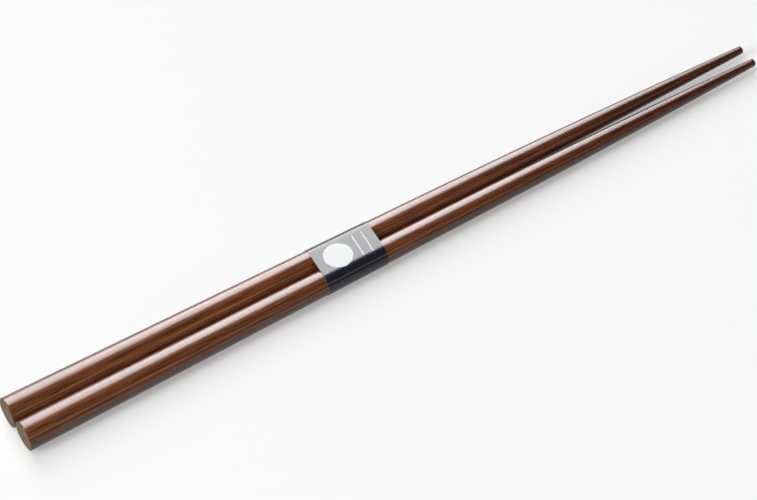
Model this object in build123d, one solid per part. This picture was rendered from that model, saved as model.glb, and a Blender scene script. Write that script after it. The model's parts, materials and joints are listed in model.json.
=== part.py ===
from build123d import *

import math
import os

# A pair of round tapered wooden chopsticks, lying side by side and held by a paper band.
# X runs along the sticks from the butts to the tips, Y goes across the pair and Z is up.
# The origin is on the table, under the middle of the pair.

# Chopsticks
LENGTH = 230.0              # from the butt face to the tip
BUTT_DIAMETER = 8.4
TAPER_LENGTH = 131.0        # straight taper from the butt, before the stick curves in to its tip
TAPER_END_DIAMETER = 6.3
TIP_DIAMETER = 2.2
BUTT_BEVEL = 0.25           # small bevel round the butt face
TIP_ROUNDING = 0.5          # radius of the tip's rounded edge

# How the two sticks lie together
BUTT_CLEARANCE = 0.04       # left between the sticks at their butts, where they touch
TAPER_END_GAP = 0.42        # between the sticks where their straight taper ends
FRONT_STICK_SLIP = 0.2      # the front stick has slipped this far towards the tips

# Paper band
BAND_START = 90.0           # from the butt faces to the band's nearer edge
BAND_WIDTH = 18.4
BAND_SKEW = 4.0             # degrees that the band sits askew, its far side nearer the tips
PAPER_THICKNESS = 0.12
BAND_CLEARANCE = 0.03       # left between the paper and the wood
LAP_WIDTH = 10.6            # glued lap of the strip's two ends, across the underside

BUTT_RADIUS = BUTT_DIAMETER / 2
TAPER_END_RADIUS = TAPER_END_DIAMETER / 2
TIP_RADIUS = TIP_DIAMETER / 2

# A stick lies on the table along its straight taper, so its axis dips by the taper's half angle.
# It turns in towards the other stick by a little less, which opens the pair towards the tips.
TAPER_SLOPE = (BUTT_RADIUS - TAPER_END_RADIUS) / TAPER_LENGTH
TURN_SLOPE = TAPER_SLOPE - TAPER_END_GAP / 2 / TAPER_LENGTH
BUTT_HALF_SPACING = BUTT_RADIUS + BUTT_CLEARANCE / 2


def taper_radius(x):
    """Radius of a stick at a distance from its butt, within the straight taper."""
    return BUTT_RADIUS - TAPER_SLOPE * x


def half_spacing(x):
    """Distance from the pair's middle plane to a stick's axis, at a distance from the butts."""
    return BUTT_HALF_SPACING - TURN_SLOPE * x


def make_stick():
    """One chopstick, turned about the Z axis with its butt face at the origin."""
    butt_rim = (BUTT_RADIUS, 0)
    taper_end = (TAPER_END_RADIUS, TAPER_LENGTH)
    tip_rim = (TIP_RADIUS, LENGTH)
    outline = Curve() + [
        Line((0, 0), butt_rim),
        Line(butt_rim, taper_end),
        TangentArc(taper_end, tip_rim, tangent=(-TAPER_SLOPE, 1)),
        Line(tip_rim, (0, LENGTH)),
        Line((0, LENGTH), (0, 0)),
    ]
    profile = make_face(outline)
    profile = chamfer(profile.vertices().sort_by_distance(butt_rim).first, BUTT_BEVEL)
    profile = fillet(profile.vertices().sort_by_distance(tip_rim).first, TIP_ROUNDING)
    return revolve(Plane.XZ * profile, Axis.Z)


def lay_stick(stick, side):
    """Lay a stick on the plane z = 0, beside the pair's middle plane; side is -1 or 1."""
    butt_centre = (0, side * half_spacing(0), taper_radius(0))
    axis_direction = (1, -side * TURN_SLOPE, -TAPER_SLOPE)
    return Plane(origin=butt_centre, x_dir=(0, 1, 0), z_dir=axis_direction) * stick


def wrap_pair(paper_layers):
    """Solid inside a wrap round both sticks, longer than the band and grown by layers of paper."""
    margin = BAND_CLEARANCE + paper_layers * PAPER_THICKNESS
    sections = Sketch()
    for x in (BAND_START - BUTT_DIAMETER, BAND_START + BAND_WIDTH + BUTT_DIAMETER):
        radius = taper_radius(x)
        across = Plane(origin=(x, 0, radius), x_dir=(0, 1, 0), z_dir=(1, 0, 0))
        sections += across * SlotCenterToCenter(2 * half_spacing(x), 2 * (radius + margin))
    return loft(sections, ruled=True)


def make_band():
    """One turn of paper round the pair, cut askew, with its two ends lapped underneath."""
    middle = BAND_START + BAND_WIDTH / 2
    place = Pos(middle, 0, taper_radius(middle)) * Rot(0, 0, -BAND_SKEW)
    stretch = place * Box(BAND_WIDTH, 4 * BUTT_DIAMETER, 2 * BUTT_DIAMETER)
    under_side = place * Box(
        BAND_WIDTH,
        LAP_WIDTH,
        BUTT_DIAMETER,
        align=(Align.CENTER, Align.CENTER, Align.MAX),
    )
    wrap = wrap_pair(1) & stretch
    lap = wrap_pair(2) & under_side
    return wrap + lap - wrap_pair(0)


stick = make_stick()
pieces = {
    "chopstick_front": Pos(FRONT_STICK_SLIP, 0, 0) * lay_stick(stick, -1),
    "chopstick_back": lay_stick(stick, 1),
    "paper_band": make_band(),
}

# The lapped paper holds the sticks up a little, so the pair comes to rest on its butts and the band.
lift = BAND_CLEARANCE + 2 * PAPER_THICKNESS
rest_tilt = math.degrees(math.asin(lift / BAND_START))
resting = {name: Rot(0, -rest_tilt, 0) * piece for name, piece in pieces.items()}

box = Compound(list(resting.values())).bounding_box()
to_origin = Pos(-box.center().X, -box.center().Y, -box.min.Z)

os.makedirs("parts", exist_ok=True)
for name, piece in resting.items():
    export_step(to_origin * piece, f"parts/{name}.step")
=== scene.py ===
"""Looks of a pair of lacquered wooden chopsticks in a printed paper band, laid out as an add-on."""

import json
import math

import bpy
from mathutils import Matrix, Vector


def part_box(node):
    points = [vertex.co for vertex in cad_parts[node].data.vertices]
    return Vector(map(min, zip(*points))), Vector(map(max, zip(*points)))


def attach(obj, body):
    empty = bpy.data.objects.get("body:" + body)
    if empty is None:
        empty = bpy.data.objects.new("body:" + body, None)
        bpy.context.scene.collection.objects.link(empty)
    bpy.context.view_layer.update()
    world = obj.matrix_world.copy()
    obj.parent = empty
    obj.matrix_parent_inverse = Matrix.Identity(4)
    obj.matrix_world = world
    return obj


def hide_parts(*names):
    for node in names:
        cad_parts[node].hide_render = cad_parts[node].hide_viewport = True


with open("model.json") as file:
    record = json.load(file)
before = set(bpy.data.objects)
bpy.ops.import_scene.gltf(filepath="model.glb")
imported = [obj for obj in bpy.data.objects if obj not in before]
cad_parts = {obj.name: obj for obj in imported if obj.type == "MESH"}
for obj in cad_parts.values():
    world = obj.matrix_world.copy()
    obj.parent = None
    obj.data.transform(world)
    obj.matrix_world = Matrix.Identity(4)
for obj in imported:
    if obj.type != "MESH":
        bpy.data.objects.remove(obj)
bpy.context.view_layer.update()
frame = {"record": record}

bl_info = {
    "name": "Chopsticks in a Paper Band",
    "version": (1, 0, 0),
    "blender": (4, 5, 0),
    "location": "View3D > Sidebar > Chopsticks",
    "description": "Turns two lacquered chopsticks, wraps their paper band and sets the studio",
    "category": "Object",
}

MM = 0.001
BODY = "root"
BAND_NODE = "paper_band"
STICK_NODES = ("chopstick_front", "chopstick_back")
BUTT_MOUNTS = ("butt_face_front", "butt_face_back")
MOUNTS = {mount["name"]: mount for mount in frame["record"]["mounts"]}
FIT_TOLERANCE = 0.1 * MM                # most that a rebuilt piece's box may leave its node's box
MERGE_DISTANCE = 0.001 * MM             # points nearer than this are one point
SMOOTH_ANGLE = math.radians(30)         # edges sharper than this stay sharp
END_FACING = -0.5                       # faces of a standing stick that look down past this are end grain
GRAIN_PLACE = "grain_place"             # attribute: where each point of a stick lay in the board
BOARD_PLACES = ((9 * MM, 21 * MM), (-17 * MM, 12 * MM))     # place of each stick's axis in the board
WHITE = (1, 1, 1, 1)
SENSOR_WIDTH = 36                       # of the camera, in millimetres
CAMERA_RANGE = (0.01, 100)              # nearest and furthest that the camera sees, in metres

# Figure of the wood: length and width of each kind of mark in millimetres, and the detail within it.
# Real fibres and pores are about a tenth of these widths, too fine to show in a picture.
FIGURE = {
    "bands": (220, 1.7, 1),
    "streaks": (130, 0.36, 2),
    "fibres": (36, 0.22, 2),
    "pores": (9, 0.3, 0),
}

# How finely the band is wound
SPIN_STEP = math.radians(4)             # turn about a stick from one point of the strip to the next
LEAST_STEPS = 3                         # fewest steps in a turn about a stick
LAP_STEP = math.radians(12)             # turn over which the outer end climbs on to the inner one
LAP_RISE = 1.05                         # height that it climbs, in layers of paper

# Sockets of a Mix node that mixes colours, which have no names of their own
MIX_FACTOR, MIX_A, MIX_B, MIX_RESULT = 0, 6, 7, 2


def linear(hex_colour):
    """Linear red, green and blue of an sRGB hex colour."""
    values = [int(hex_colour[start:start + 2], 16) / 255 for start in (1, 3, 5)]
    return tuple(
        value / 12.92 if value <= 0.04045 else ((value + 0.055) / 1.055) ** 2.4 for value in values
    )


def length_property(name, description, millimetres):
    """A length that a user may change, given in millimetres."""
    return bpy.props.FloatProperty(
        name=name, description=description, default=millimetres * MM, unit="LENGTH", precision=5
    )


def colour_property(name, description, hex_colour):
    """A colour that a user may change, given as sRGB hex."""
    return bpy.props.FloatVectorProperty(
        name=name, description=description, default=linear(hex_colour), subtype="COLOR", min=0, max=1
    )


def angle_property(name, description, degrees):
    """An angle that a user may change, given in degrees."""
    return bpy.props.FloatProperty(
        name=name, description=description, default=math.radians(degrees), subtype="ANGLE"
    )


class ChopstickSettings(bpy.types.PropertyGroup):
    """Sizes and colours of the two sticks."""

    length: length_property("Length", "From the butt face to the tip", 230)
    butt_diameter: length_property("Butt Diameter", "Thickness at the butt", 8.4)
    taper_length: length_property("Taper Length", "Straight taper, before the curve to the tip", 131)
    taper_end_diameter: length_property("Taper End Diameter", "Thickness where the curve starts", 6.3)
    tip_diameter: length_property("Tip Diameter", "Thickness at the tip", 2.2)
    butt_easing: length_property("Butt Easing", "Width of the eased edge round the butt face", 0.25)
    tip_rounding: length_property("Tip Rounding", "Radius of the tip's rounded edge", 0.5)
    dark_streak: colour_property("Dark Streaks", "Late growth, red-brown", "#4B200B")
    mid_wood: colour_property("Mid Wood", "Main brown of the stained wood", "#804527")
    light_streak: colour_property("Light Streaks", "Early growth, orange-brown", "#92582C")
    olive_streak: colour_property("Olive Streaks", "Greenish brown bands of the heartwood", "#614222")
    pore_stain: colour_property("Pores", "Stain that has gathered in the open pores", "#250E07")
    # Tint multiplied over the wood that makes it darker towards the tips, by distance from the butt
    tip_darkening: colour_property("Tip Darkening", "Tint that darkens the wood towards the tips", "#B99A92")
    tip_darkening_start: length_property("Tip Darkening Start", "Where the tint starts, from the butt", 110)
    tip_darkening_full: length_property("Tip Darkening Full", "Where the tint is full, from the butt", 200)
    end_grain: colour_property("End Grain", "Bare wood of the sawn butt faces", "#6C5430")
    end_grain_dark: colour_property("End Grain Dark", "Rings and pores of the sawn faces", "#3A2A14")


class PaperBandSettings(bpy.types.PropertyGroup):
    """Sizes and colours of the paper band."""

    band_width: length_property("Band Width", "Width of the paper strip", 18.4)
    skew: angle_property("Skew", "How far askew the strip sits, its far side nearer the tips", 4)
    paper_thickness: length_property("Paper Thickness", "One layer of the band's paper", 0.12)
    slack: length_property("Slack", "Left between the paper and the wood", 0.03)
    lap_width: length_property("Lap Width", "Glued lap of the strip's ends, across the underside", 10.6)
    disc_radius: length_property("Disc Radius", "White disc printed on the top", 3.98)
    disc_along: length_property("Disc Along", "Disc centre from the middle, across the strip", -2.705)
    disc_aside: length_property("Disc Aside", "Disc centre from the middle, along the strip", -0.6)
    rules_along: length_property("Rules Along", "Middle of the two rules, across the strip", 4.8)
    rule_spacing: length_property("Rule Spacing", "Between the two white rules", 2.8)
    rule_length: length_property("Rule Length", "Length of each white rule", 7.2)
    rule_width: length_property("Rule Width", "Width of each white rule", 0.3)
    ink: colour_property("Ink", "Dark printed ground", "#20212F")
    paper: colour_property("Paper", "White paper of the disc and the rules", "#F0F4F6")
    # Grey of the cut edges and the uncoated side: partly ink on the edges, partly painted shade
    cut_edge_inked_and_shaded: colour_property("Cut Edge Inked and Shaded", "Uncoated paper, greyed by the ink", "#8F8D8B")


class StageSettings(bpy.types.PropertyGroup):
    """Camera, lamps and floor."""

    camera_place: bpy.props.FloatVectorProperty(
        name="Camera Place",
        description="Where the camera stands",
        default=(-274.99 * MM, -438.01 * MM, 677.11 * MM),
        subtype="TRANSLATION",
        unit="LENGTH",
    )
    camera_turn: angle_property("Camera Turn", "Turn of the view, right of straight across", 31.563)
    camera_dip: angle_property("Camera Dip", "How far below the horizon the camera looks", 52.792)
    camera_roll: angle_property("Camera Roll", "Lean of the camera, clockwise", 0.877)
    camera_lens: bpy.props.FloatProperty(
        name="Lens",
        description="Focal length on a 36 mm sensor",
        default=152.18,
        subtype="DISTANCE_CAMERA",
    )
    floor_size: bpy.props.FloatProperty(
        name="Floor Size", description="Side of the square floor", default=30, unit="LENGTH"
    )
    floor_colour: colour_property("Floor", "Plain pale floor", "#DCDCDC")
    floor_bounce: colour_property("Floor Bounce", "Floor as it lights the sticks from below", "#2E2E2E")
    shadow_lift: bpy.props.FloatProperty(
        name="Shadow Lift",
        description="Share of plain white in the floor as it is seen, which lightens the shadow",
        default=0.35,
        subtype="FACTOR",
        min=0,
        max=1,
    )
    room_light: bpy.props.FloatProperty(
        name="Room Light", description="Strength of the plain light from all round", default=0.05, min=0
    )


def add_node(tree, kind, settings=None, inputs=None):
    """Add a node, with its settings and with each input's value or the socket that feeds it."""
    node = tree.nodes.new(kind)
    for name, value in (settings or {}).items():
        setattr(node, name, value)
    for key, value in (inputs or {}).items():
        if isinstance(value, bpy.types.NodeSocket):
            tree.links.new(value, node.inputs[key])
        else:
            node.inputs[key].default_value = value
    return node


def new_material(name):
    """An empty node material, and its node tree."""
    material = bpy.data.materials.new(name)
    material.use_nodes = True
    material.node_tree.nodes.clear()
    return material, material.node_tree


def finish_material(tree, shader):
    """Feed a shader to the material's output."""
    add_node(tree, "ShaderNodeOutputMaterial", inputs={"Surface": shader.outputs[0]})


def board_place(tree):
    """Where a point of a stick lay in the board that both were cut from, X along the grain."""
    return add_node(tree, "ShaderNodeAttribute", {"attribute_name": GRAIN_PLACE}).outputs["Vector"]


def grain_marks(tree, place, kind):
    """One kind of mark of the wood's figure: noise drawn out along the grain."""
    length, width, detail = FIGURE[kind]
    scale = (1 / (length * MM), 1 / (width * MM), 1 / (width * MM))
    stretched = add_node(tree, "ShaderNodeMapping", inputs={"Vector": place, "Scale": scale})
    noise = add_node(
        tree,
        "ShaderNodeTexNoise",
        inputs={"Vector": stretched.outputs[0], "Scale": 1, "Detail": detail, "Roughness": 0.6},
    )
    return noise.outputs[0]


def laid_over(tree, under, over, pattern, start, full, most=1.0, blend="MIX"):
    """Colour laid over another: none where a pattern's value is at start, the most of it at full."""
    amount = add_node(
        tree,
        "ShaderNodeMapRange",
        inputs={"Value": pattern, "From Min": start, "From Max": full, "To Max": most},
    )
    mix = add_node(
        tree,
        "ShaderNodeMix",
        {"data_type": "RGBA", "blend_type": blend},
        {MIX_FACTOR: amount.outputs[0], MIX_A: under, MIX_B: over},
    )
    return mix.outputs[MIX_RESULT]


def lacquered_hardwood(sticks):
    """Stained hardwood, turned and sprayed with clear satin lacquer: soft shine over fine streaks."""
    material, tree = new_material("hardwood_turned_and_lacquered")
    place = board_place(tree)
    along = add_node(tree, "ShaderNodeSeparateXYZ", inputs={0: place}).outputs[0]
    bands, streaks, fibres, pores = (grain_marks(tree, place, kind) for kind in FIGURE)
    dark = (*sticks.dark_streak, 1)
    colour = laid_over(tree, dark, (*sticks.mid_wood, 1), streaks, start=0.3, full=0.44)
    colour = laid_over(tree, colour, (*sticks.light_streak, 1), streaks, start=0.52, full=0.72, most=0.85)
    colour = laid_over(tree, colour, (*sticks.olive_streak, 1), bands, start=0.52, full=0.7, most=0.4)
    colour = laid_over(tree, colour, dark, fibres, start=0.5, full=0.28, most=0.7)
    colour = laid_over(tree, colour, (*sticks.pore_stain, 1), pores, start=0.55, full=0.7, most=0.65)
    # Darker towards the tips: none of the tint at its start, all of it at its full
    colour = laid_over(
        tree,
        colour,
        (*sticks.tip_darkening, 1),
        along,
        start=sticks.tip_darkening_start,
        full=sticks.tip_darkening_full,
        blend="MULTIPLY",
    )
    # The lacquer sinks a little into the dark streaks, which are duller
    sheen = add_node(
        tree,
        "ShaderNodeMapRange",
        inputs={"Value": streaks, "From Min": 0.3, "From Max": 0.7, "To Min": 0.29, "To Max": 0.22},
    )
    relief = add_node(
        tree,
        "ShaderNodeBump",
        inputs={"Strength": 0.25, "Distance": 0.02 * MM, "Height": fibres},
    )
    lacquer = add_node(
        tree,
        "ShaderNodeBsdfPrincipled",
        inputs={
            "Base Color": colour,
            "Roughness": sheen.outputs[0],
            "IOR": 1.52,
            "Normal": relief.outputs[0],
        },
    )
    finish_material(tree, lacquer)
    return material


def sawn_end_grain(sticks):
    """The same hardwood sawn across and left bare: dull, paler, with rings and open pores end on."""
    material, tree = new_material("hardwood_end_grain_sawn")
    place = board_place(tree)
    dark = (*sticks.end_grain_dark, 1)
    bands, streaks, fibres = (grain_marks(tree, place, kind) for kind in ("bands", "streaks", "fibres"))
    colour = laid_over(tree, dark, (*sticks.end_grain, 1), bands, start=0.3, full=0.52)
    colour = laid_over(tree, colour, dark, streaks, start=0.5, full=0.3, most=0.8)
    relief = add_node(
        tree,
        "ShaderNodeBump",
        inputs={"Strength": 0.5, "Distance": 0.05 * MM, "Height": fibres},
    )
    bare_wood = add_node(
        tree,
        "ShaderNodeBsdfPrincipled",
        inputs={"Base Color": colour, "Roughness": 0.6, "IOR": 1.5, "Normal": relief.outputs[0]},
    )
    finish_material(tree, bare_wood)
    return material


def printed_coated_paper(band, middle_x, middle_height):
    """Coated paper, offset printed: a dark satin ground, with a disc and two rules left white on top."""
    material, tree = new_material("coated_paper_offset_printed")
    place = add_node(tree, "ShaderNodeTexCoord").outputs["Object"]
    height = add_node(tree, "ShaderNodeSeparateXYZ", inputs={0: place}).outputs[2]
    # Places on the strip: X across its width and Y along it, from its middle
    shift = (-middle_x * math.cos(band.skew), -middle_x * math.sin(band.skew), 0)
    on_strip = add_node(
        tree,
        "ShaderNodeMapping",
        inputs={"Vector": place, "Location": shift, "Rotation": (0, 0, band.skew)},
    )
    split = add_node(tree, "ShaderNodeSeparateXYZ", inputs={0: on_strip.outputs[0]})
    flat_place = add_node(
        tree, "ShaderNodeCombineXYZ", inputs={0: split.outputs[0], 1: split.outputs[1]}
    )
    from_centre = add_node(
        tree,
        "ShaderNodeVectorMath",
        {"operation": "DISTANCE"},
        {0: flat_place.outputs[0], 1: (band.disc_along, band.disc_aside, 0)},
    ).outputs["Value"]
    from_rule = split.outputs[0]
    steps = (
        ("SUBTRACT", band.rules_along),
        ("ABSOLUTE", 0),
        ("SUBTRACT", band.rule_spacing / 2),
        ("ABSOLUTE", 0),
    )
    for operation, amount in steps:
        from_rule = add_node(
            tree, "ShaderNodeMath", {"operation": operation}, {0: from_rule, 1: amount}
        ).outputs[0]
    from_middle = add_node(
        tree, "ShaderNodeMath", {"operation": "ABSOLUTE"}, {0: split.outputs[1]}
    ).outputs[0]
    on_top = add_node(
        tree, "ShaderNodeMath", {"operation": "GREATER_THAN"}, {0: height, 1: middle_height}
    ).outputs[0]
    ink = (*band.ink, 1)
    white = (*band.paper, 1)
    ink_edge = 0.04 * MM
    half_width = band.rule_width / 2
    half_length = band.rule_length / 2
    rules = laid_over(tree, ink, white, from_rule, half_width + ink_edge, half_width - ink_edge)
    rules = laid_over(tree, ink, rules, from_middle, half_length + ink_edge, half_length - ink_edge)
    colour = laid_over(
        tree, rules, white, from_centre, band.disc_radius + ink_edge, band.disc_radius - ink_edge
    )
    colour = laid_over(tree, ink, colour, on_top, start=0, full=1)
    # The clay coating's unevenness is about 0.1 mm across, drawn coarser so that it shows
    tooth = add_node(
        tree, "ShaderNodeTexNoise", inputs={"Vector": place, "Scale": 1 / (0.6 * MM), "Detail": 2}
    )
    ink_gloss = add_node(
        tree,
        "ShaderNodeMapRange",
        inputs={
            "Value": tooth.outputs[0],
            "From Min": 0.3,
            "From Max": 0.7,
            "To Min": 0.18,
            "To Max": 0.24,
        },
    )
    # The ink's film is glossier than the bare paper of the disc and the rules
    gloss = add_node(
        tree,
        "ShaderNodeMapRange",
        inputs={
            "Value": colour,
            "From Min": 0.05,
            "From Max": 0.9,
            "To Min": ink_gloss.outputs[0],
            "To Max": 0.5,
        },
    )
    relief = add_node(
        tree,
        "ShaderNodeBump",
        inputs={"Strength": 0.3, "Distance": 0.01 * MM, "Height": tooth.outputs[0]},
    )
    coating = add_node(
        tree,
        "ShaderNodeBsdfPrincipled",
        inputs={
            "Base Color": colour,
            "Roughness": gloss.outputs[0],
            "IOR": 1.45,
            "Normal": relief.outputs[0],
        },
    )
    finish_material(tree, coating)
    return material


def bare_paper(band):
    """The uncoated side and cut edges of the paper: matt, with short fibres; their grey is partly ink and
    partly painted shade.
    """
    material, tree = new_material("paper_cut_edge")
    place = add_node(tree, "ShaderNodeTexCoord").outputs["Object"]
    # Paper fibres are about 0.03 mm across, drawn coarser so that they show
    fibres = add_node(
        tree, "ShaderNodeTexNoise", inputs={"Vector": place, "Scale": 1 / (0.2 * MM), "Detail": 2}
    )
    fibre_shade = 0.8
    shaded = (*(fibre_shade * value for value in band.cut_edge_inked_and_shaded), 1)
    # The grey base is partly ink and partly painted shade; the fibres only vary its tone
    colour = laid_over(tree, (*band.cut_edge_inked_and_shaded, 1), shaded, fibres.outputs[0], start=0.4, full=0.7)
    paper = add_node(tree, "ShaderNodeBsdfPrincipled", inputs={"Base Color": colour, "Roughness": 0.8})
    finish_material(tree, paper)
    return material


def painted_floor(stage):
    """Matt pale paint, rolled: seen pale, its shadow lightened; it throws little light up at the sticks."""
    material, tree = new_material("floor_matt_paint")
    rays = add_node(tree, "ShaderNodeLightPath").outputs
    mirrored = add_node(
        tree,
        "ShaderNodeMath",
        {"operation": "MAXIMUM"},
        {0: rays["Is Glossy Ray"], 1: rays["Is Transmission Ray"]},
    )
    seen = add_node(
        tree,
        "ShaderNodeMath",
        {"operation": "MAXIMUM"},
        {0: rays["Is Camera Ray"], 1: mirrored.outputs[0]},
    )
    bounce = (*stage.floor_bounce, 1)
    pale = (*stage.floor_colour, 1)
    colour = laid_over(tree, bounce, pale, seen.outputs[0], start=0, full=1)
    paint = add_node(tree, "ShaderNodeBsdfDiffuse", inputs={"Color": colour})
    white = add_node(tree, "ShaderNodeEmission", inputs={"Color": WHITE, "Strength": 1})
    lift = add_node(
        tree, "ShaderNodeMath", {"operation": "MULTIPLY"}, {0: seen.outputs[0], 1: stage.shadow_lift}
    )
    seen_paint = add_node(
        tree,
        "ShaderNodeMixShader",
        inputs={0: lift.outputs[0], 1: paint.outputs[0], 2: white.outputs[0]},
    )
    finish_material(tree, seen_paint)
    return material


def deselect_all():
    """Leave no object selected, so that the next operator acts on new work only."""
    bpy.ops.object.select_all(action="DESELECT")


def select_vertices(piece, wanted):
    """Select only the vertices of a piece whose place passes a test; the piece is in edit mode."""
    bpy.ops.mesh.select_mode(type="VERT")
    bpy.ops.mesh.select_all(action="DESELECT")
    bpy.ops.object.mode_set(mode="OBJECT")
    for vertex in piece.data.vertices:
        vertex.select = wanted(vertex.co)
    bpy.ops.object.mode_set(mode="EDIT")


def close_mesh():
    """Merge the doubles of the piece in edit mode and turn its faces outwards."""
    bpy.ops.mesh.select_all(action="SELECT")
    bpy.ops.mesh.remove_doubles(threshold=MERGE_DISTANCE)
    bpy.ops.mesh.normals_make_consistent(inside=False)


def stick_radius(sticks, x):
    """Radius of a stick at a distance from its butt: a straight taper, then an arc tangent to it."""
    butt = sticks.butt_diameter / 2
    taper_end = sticks.taper_end_diameter / 2
    slope = (butt - taper_end) / sticks.taper_length
    if x <= sticks.taper_length:
        return butt - slope * x
    inward = Vector((-slope, -1)).normalized()
    to_tip = Vector((sticks.length - sticks.taper_length, sticks.tip_diameter / 2 - taper_end))
    arc_radius = to_tip.length_squared / (2 * to_tip.dot(inward))
    centre = Vector((sticks.taper_length, taper_end)) + arc_radius * inward
    return centre.y + math.sqrt(arc_radius ** 2 - (x - centre.x) ** 2)


def turn_stick(sticks, round_segments=128, taper_steps=16, curve_steps=28):
    """Model one stick standing on its butt at the origin, from a disc drawn up along its profile."""
    deselect_all()
    bpy.ops.mesh.primitive_circle_add(
        vertices=round_segments, radius=sticks.butt_diameter / 2, fill_type="TRIFAN", calc_uvs=False
    )
    stick = bpy.context.object
    bpy.ops.object.mode_set(mode="EDIT")
    bpy.ops.mesh.select_all(action="SELECT")
    curve_length = sticks.length - sticks.taper_length
    # A short ring at each end keeps the eased rims' shading from spreading along the stick
    stations = [0, 2 * sticks.butt_easing]
    stations += [sticks.taper_length * step / taper_steps for step in range(1, taper_steps + 1)]
    stations += [
        sticks.taper_length + curve_length * step / curve_steps for step in range(1, curve_steps)
    ]
    stations += [sticks.length - 2 * sticks.tip_rounding, sticks.length]
    for start, end in zip(stations, stations[1:]):
        bpy.ops.mesh.extrude_region_move(TRANSFORM_OT_translate={"value": (0, 0, end - start)})
        shrink = stick_radius(sticks, end) / stick_radius(sticks, start)
        bpy.ops.transform.resize(value=(shrink, shrink, 1), center_override=(0, 0, end))
    ease_rim(stick, 0, sticks.butt_diameter / 2, sticks.butt_easing, segments=3)
    ease_rim(stick, sticks.length, sticks.tip_diameter / 2, sticks.tip_rounding, segments=6)
    close_mesh()
    bpy.ops.object.mode_set(mode="OBJECT")
    bpy.ops.object.shade_smooth_by_angle(angle=SMOOTH_ANGLE)
    return stick


def ease_rim(stick, height, radius, width, segments):
    """Round off the rim of an end face, after a narrow inset that keeps the face's shading flat."""
    near = width / 2
    inset = 1.5 * width
    select_vertices(stick, lambda place: abs(place.z - height) < near)
    bpy.ops.mesh.inset(thickness=inset)
    select_vertices(
        stick, lambda place: abs(place.z - height) < near and abs(place.xy.length - radius) < near
    )
    bpy.ops.mesh.select_mode(type="EDGE")
    bpy.ops.mesh.bevel(offset=width, segments=segments, affect="EDGES")


def lay_stick(stick, mount, name, axis_in_board):
    """Lay a stick with its butt face on a mount of the frame, and note where it lay in its board."""
    axis = -Vector(mount["axis"]).normalized()
    across = Vector((0, 1, 0))
    across = (across - across.dot(axis) * axis).normalized()
    place = Matrix((across, axis.cross(across), axis)).transposed().to_4x4()
    place.translation = Vector(mount["pos_m"])
    aside, deep = axis_in_board
    in_board = [
        (vertex.co.z, vertex.co.x + aside, vertex.co.y + deep) for vertex in stick.data.vertices
    ]
    attribute = stick.data.attributes.new(GRAIN_PLACE, "FLOAT_VECTOR", "POINT")
    attribute.data.foreach_set("vector", [value for point in in_board for value in point])
    stick.name = name
    stick.matrix_world = place
    deselect_all()
    stick.select_set(True)
    bpy.context.view_layer.objects.active = stick
    bpy.ops.object.transform_apply(location=True, rotation=True, scale=True)


def check_fit(piece, node):
    """Stop if a rebuilt piece doesn't fill the box of the node that it stands for."""
    bpy.context.view_layer.update()
    places = [vertex.co for vertex in piece.data.vertices]
    low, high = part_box(node)
    for axis in range(3):
        below = abs(min(place[axis] for place in places) - low[axis])
        above = abs(max(place[axis] for place in places) - high[axis])
        if max(below, above) > FIT_TOLERANCE:
            raise RuntimeError(f"{piece.name} leaves {node} along axis {axis} by {below} and {above}")


class TurnChopsticks(bpy.types.Operator):
    """Model one chopstick, copy it and lay both on the frame's butt faces"""

    bl_idname = "chopsticks.turn_sticks"
    bl_label = "Turn Chopsticks"
    bl_options = {"REGISTER", "UNDO"}

    def execute(self, context):
        sticks = context.scene.chopstick_settings
        side = lacquered_hardwood(sticks)
        end = sawn_end_grain(sticks)
        first = turn_stick(sticks)
        first.data.materials.append(side)
        first.data.materials.append(end)
        for face in first.data.polygons:
            face.material_index = int(face.normal.z < END_FACING)
        second = first.copy()
        second.data = first.data.copy()
        context.collection.objects.link(second)
        for stick, node, mount, place in zip((first, second), STICK_NODES, BUTT_MOUNTS, BOARD_PLACES):
            lay_stick(stick, MOUNTS[mount], f"turned_{node}", place)
            check_fit(stick, node)
            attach(stick, BODY)
            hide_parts(node)
        return {"FINISHED"}


def axis_at(mount, x):
    """Place on a stick's axis at an X of the frame, and its distance from the butt."""
    axis = -Vector(mount["axis"]).normalized()
    butt = Vector(mount["pos_m"])
    distance = (x - butt.x) / axis.x
    return butt + axis * distance, distance


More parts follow.
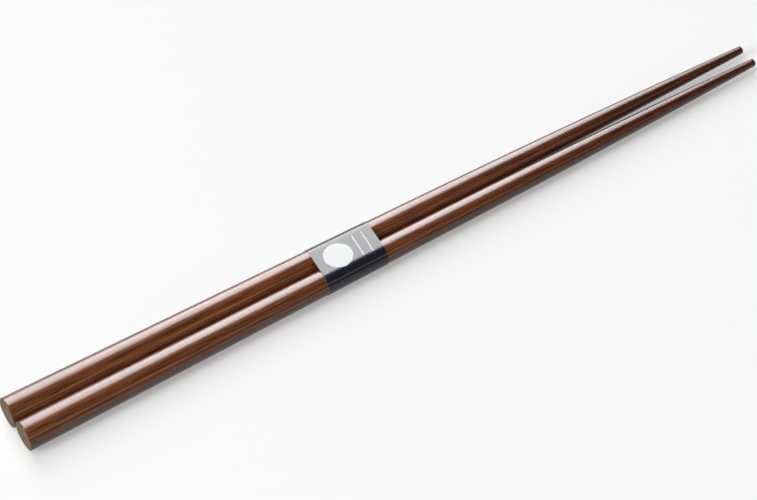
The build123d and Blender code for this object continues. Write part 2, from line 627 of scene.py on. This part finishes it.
class WrapPaperBand(bpy.types.Operator):
    """Wrap a strip of paper once round both sticks, with its ends lapped underneath"""

    bl_idname = "chopsticks.wrap_band"
    bl_label = "Wrap Paper Band"
    bl_options = {"REGISTER", "UNDO"}

    def execute(self, context):
        band = context.scene.paper_band_settings
        sticks = context.scene.chopstick_settings
        low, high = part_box(BAND_NODE)
        sections = []
        for x in (low.x, high.x):
            (front, distance), (back, _) = (axis_at(MOUNTS[mount], x) for mount in BUTT_MOUNTS)
            inside = stick_radius(sticks, distance) + band.slack
            sections.append(((back.y - front.y) / 2, back.z, inside))
        (half, height, radius), (tip_half, tip_height, tip_radius) = sections
        middle_x = (low.x + high.x) / 2
        strip = self.wrap_strip(band, high.x - low.x, middle_x, half, height, radius)
        select_vertices(strip, lambda place: place.x > middle_x)
        narrower = (tip_half + tip_radius) / (half + radius)
        bpy.ops.transform.resize(
            value=(1, narrower, tip_radius / radius), center_override=(high.x, 0, height)
        )
        bpy.ops.transform.translate(value=(0, 0, tip_height - height))
        close_mesh()
        self.trim_askew(band, middle_x)
        bpy.ops.object.mode_set(mode="OBJECT")
        strip.data.materials.append(printed_coated_paper(band, middle_x, height))
        strip.data.materials.append(bare_paper(band))
        paper = strip.modifiers.new("paper", "SOLIDIFY")
        paper.thickness = band.paper_thickness
        paper.offset = 1
        paper.use_even_offset = True
        paper.material_offset = 1
        paper.material_offset_rim = 1
        bpy.ops.object.modifier_apply(modifier=paper.name)
        bpy.ops.object.shade_smooth_by_angle(angle=SMOOTH_ANGLE)
        check_fit(strip, BAND_NODE)
        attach(strip, BODY)
        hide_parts(BAND_NODE)
        return {"FINISHED"}

    @staticmethod
    def wrap_strip(band, width, middle_x, half, height, radius):
        """Draw a strip round the pair: under it, up round the front, over, down the back, under."""
        front = (middle_x, -half, height)
        back = (middle_x, half, height)
        lap_angle = math.asin((band.lap_width / 2 - half) / radius)
        outer = radius + band.paper_thickness * LAP_RISE
        near = radius / 1000

        def spin_end(centre, angle):
            """Turn the strip's selected end about a stick; a positive angle goes up at the front."""
            steps = max(LEAST_STEPS, round(abs(angle) / SPIN_STEP))
            bpy.ops.mesh.spin(steps=steps, angle=angle, center=centre, axis=(1, 0, 0))

        deselect_all()
        bpy.ops.mesh.primitive_plane_add(size=1, calc_uvs=False)
        strip = bpy.context.object
        strip.name = "wrapped_paper_band"
        bpy.ops.object.mode_set(mode="EDIT")
        bpy.ops.mesh.select_all(action="SELECT")
        bpy.ops.transform.resize(value=(width, 2 * half, 1))
        bpy.ops.transform.translate(value=(middle_x, 0, height - radius))
        select_vertices(strip, lambda place: abs(place.y - half) < near)
        spin_end(back, -lap_angle)
        select_vertices(strip, lambda place: abs(place.y + half) < near)
        spin_end(front, math.pi)
        bpy.ops.mesh.extrude_region_move(TRANSFORM_OT_translate={"value": (0, 2 * half, 0)})
        start = lap_angle + LAP_STEP
        spin_end(back, math.pi - start)
        climb = Vector((
            0,
            outer * math.sin(lap_angle) - radius * math.sin(start),
            radius * math.cos(start) - outer * math.cos(lap_angle),
        ))
        bpy.ops.mesh.extrude_region_move(TRANSFORM_OT_translate={"value": climb})
        spin_end(back, lap_angle)
        bpy.ops.mesh.extrude_region_move(TRANSFORM_OT_translate={"value": (0, -2 * half, 0)})
        spin_end(front, lap_angle)
        return strip

    @staticmethod
    def trim_askew(band, middle_x):
        """Cut both edges of the strip in edit mode askew, seen from above."""
        outward = Vector((math.cos(band.skew), -math.sin(band.skew), 0))
        for side in (-1, 1):
            bpy.ops.mesh.select_all(action="SELECT")
            bpy.ops.mesh.bisect(
                plane_co=Vector((middle_x, 0, 0)) + side * band.band_width / 2 * outward,
                plane_no=side * outward,
                clear_outer=True,
            )


# Lamps of the studio: where each hangs as seen from the pair, its distance and sides in metres, its light.
# The back ones are seen as shine only, so that the wood's own colour is even all round the sticks, and
# the floor's own lamp gives it its paleness and the pair's soft shadow with no more light on the sticks.
SOFTBOXES = (
    {
        "name": "back_softbox",
        "direction": (0.305, 0.695, 0.651),
        "distance": 5.0,
        "width": 2.1,
        "depth": 7.0,
        "radiance": 3.6,
        "lights": "gloss",
    },
    {
        "name": "back_softbox_core",
        "direction": (0.305, 0.695, 0.651),
        "distance": 4.8,
        "width": 2.0,
        "depth": 4.5,
        "radiance": 9.4,
        "lights": "gloss",
    },
    {
        "name": "back_strip",
        "direction": (0.33, 0.923, 0.196),
        "distance": 5.0,
        "width": 2.1,
        "depth": 1.5,
        "radiance": 3.0,
        "lights": "gloss",
    },
    {
        "name": "left_softbox",
        "direction": (-0.85, 0.0, 0.53),
        "distance": 2.4,
        "width": 1.0,
        "depth": 1.0,
        "radiance": 13.5,
    },
    {
        "name": "top_softbox",
        "direction": (-0.35, 0.1, 0.93),
        "distance": 3.0,
        "width": 1.2,
        "depth": 1.2,
        "radiance": 8.0,
    },
    {
        "name": "floor_softbox",
        "direction": (0.1, 0.684, 0.640),
        "distance": 5.0,
        "width": 2.1,
        "depth": 4.5,
        "radiance": 7.0,
        "lights": "floor",
    },
    {
        "name": "front_card",
        "direction": (0.31, -0.86, 0.40),
        "distance": 2.0,
        "width": 1.1,
        "depth": 0.25,
        "radiance": 2.8,
        "colour": "#FFE0BC",
    },
)


def add_softbox(
    floor, name, direction, distance, width, depth, radiance, colour="#FFFFFF", lights="all"
):
    """A rectangular lamp that faces the pair, its width along them; lights is all, gloss or floor."""
    facing = Vector(direction).normalized()
    tall = Vector((1, 0, 0)).cross(facing).normalized()
    deselect_all()
    bpy.ops.object.light_add(type="AREA", location=facing * distance)
    lamp = bpy.context.object
    lamp.name = name
    lamp.rotation_euler = Matrix((tall.cross(facing), tall, facing)).transposed().to_euler()
    lamp.data.shape = "RECTANGLE"
    lamp.data.size = width
    lamp.data.size_y = depth
    lamp.data.color = linear(colour)
    lamp.data.energy = radiance * math.pi * width * depth
    lamp.visible_diffuse = lights != "gloss"
    if lights == "floor":
        lit = bpy.data.collections.new("lit_by_" + name)
        lit.objects.link(floor)
        lamp.light_linking.receiver_collection = lit


class SetStage(bpy.types.Operator):
    """Lay the pale floor, hang the softboxes and place the camera"""

    bl_idname = "chopsticks.set_stage"
    bl_label = "Set Stage"
    bl_options = {"REGISTER", "UNDO"}

    def execute(self, context):
        stage = context.scene.stage_settings
        deselect_all()
        bpy.ops.mesh.primitive_plane_add(size=stage.floor_size)
        floor = bpy.context.object
        floor.name = "floor"
        floor.data.materials.append(painted_floor(stage))
        for softbox in SOFTBOXES:
            add_softbox(floor, **softbox)
        world = bpy.data.worlds.new("studio_room")
        world.use_nodes = True
        background = world.node_tree.nodes["Background"]
        background.inputs["Color"].default_value = WHITE
        background.inputs["Strength"].default_value = stage.room_light
        context.scene.world = world
        context.scene.view_settings.view_transform = "Standard"
        bpy.ops.object.camera_add(location=stage.camera_place)
        camera = bpy.context.object
        turn = Matrix.Rotation(-stage.camera_turn, 3, "Z")
        dip = Matrix.Rotation(math.pi / 2 - stage.camera_dip, 3, "X")
        roll = Matrix.Rotation(-stage.camera_roll, 3, "Z")
        camera.rotation_euler = (turn @ dip @ roll).to_euler()
        camera.data.sensor_width = SENSOR_WIDTH
        camera.data.lens = stage.camera_lens
        camera.data.clip_start, camera.data.clip_end = CAMERA_RANGE
        context.scene.camera = camera
        return {"FINISHED"}


class ChopsticksPanel(bpy.types.Panel):
    """Sidebar panel with the sizes, colours and steps"""

    bl_idname = "VIEW3D_PT_chopsticks"
    bl_label = "Chopsticks"
    bl_space_type = "VIEW_3D"
    bl_region_type = "UI"
    bl_category = "Chopsticks"

    def draw(self, context):
        layout = self.layout
        steps = (
            ("chopstick_settings", TurnChopsticks),
            ("paper_band_settings", WrapPaperBand),
            ("stage_settings", SetStage),
        )
        for settings_name, operator in steps:
            settings = getattr(context.scene, settings_name)
            column = layout.column()
            for name in settings.__annotations__:
                column.prop(settings, name)
            column.operator(operator.bl_idname)


CLASSES = (
    ChopstickSettings,
    PaperBandSettings,
    StageSettings,
    TurnChopsticks,
    WrapPaperBand,
    SetStage,
    ChopsticksPanel,
)


def register():
    """Register the classes and give the scene its settings."""
    for kind in CLASSES:
        bpy.utils.register_class(kind)
    bpy.types.Scene.chopstick_settings = bpy.props.PointerProperty(type=ChopstickSettings)
    bpy.types.Scene.paper_band_settings = bpy.props.PointerProperty(type=PaperBandSettings)
    bpy.types.Scene.stage_settings = bpy.props.PointerProperty(type=StageSettings)


def unregister():
    """Take the settings and the classes away again."""
    del bpy.types.Scene.stage_settings
    del bpy.types.Scene.paper_band_settings
    del bpy.types.Scene.chopstick_settings
    for kind in reversed(CLASSES):
        bpy.utils.unregister_class(kind)


def main():
    register()
    bpy.ops.chopsticks.turn_sticks()
    bpy.ops.chopsticks.wrap_band()
    bpy.ops.chopsticks.set_stage()


if __name__ == "__main__":
    main()
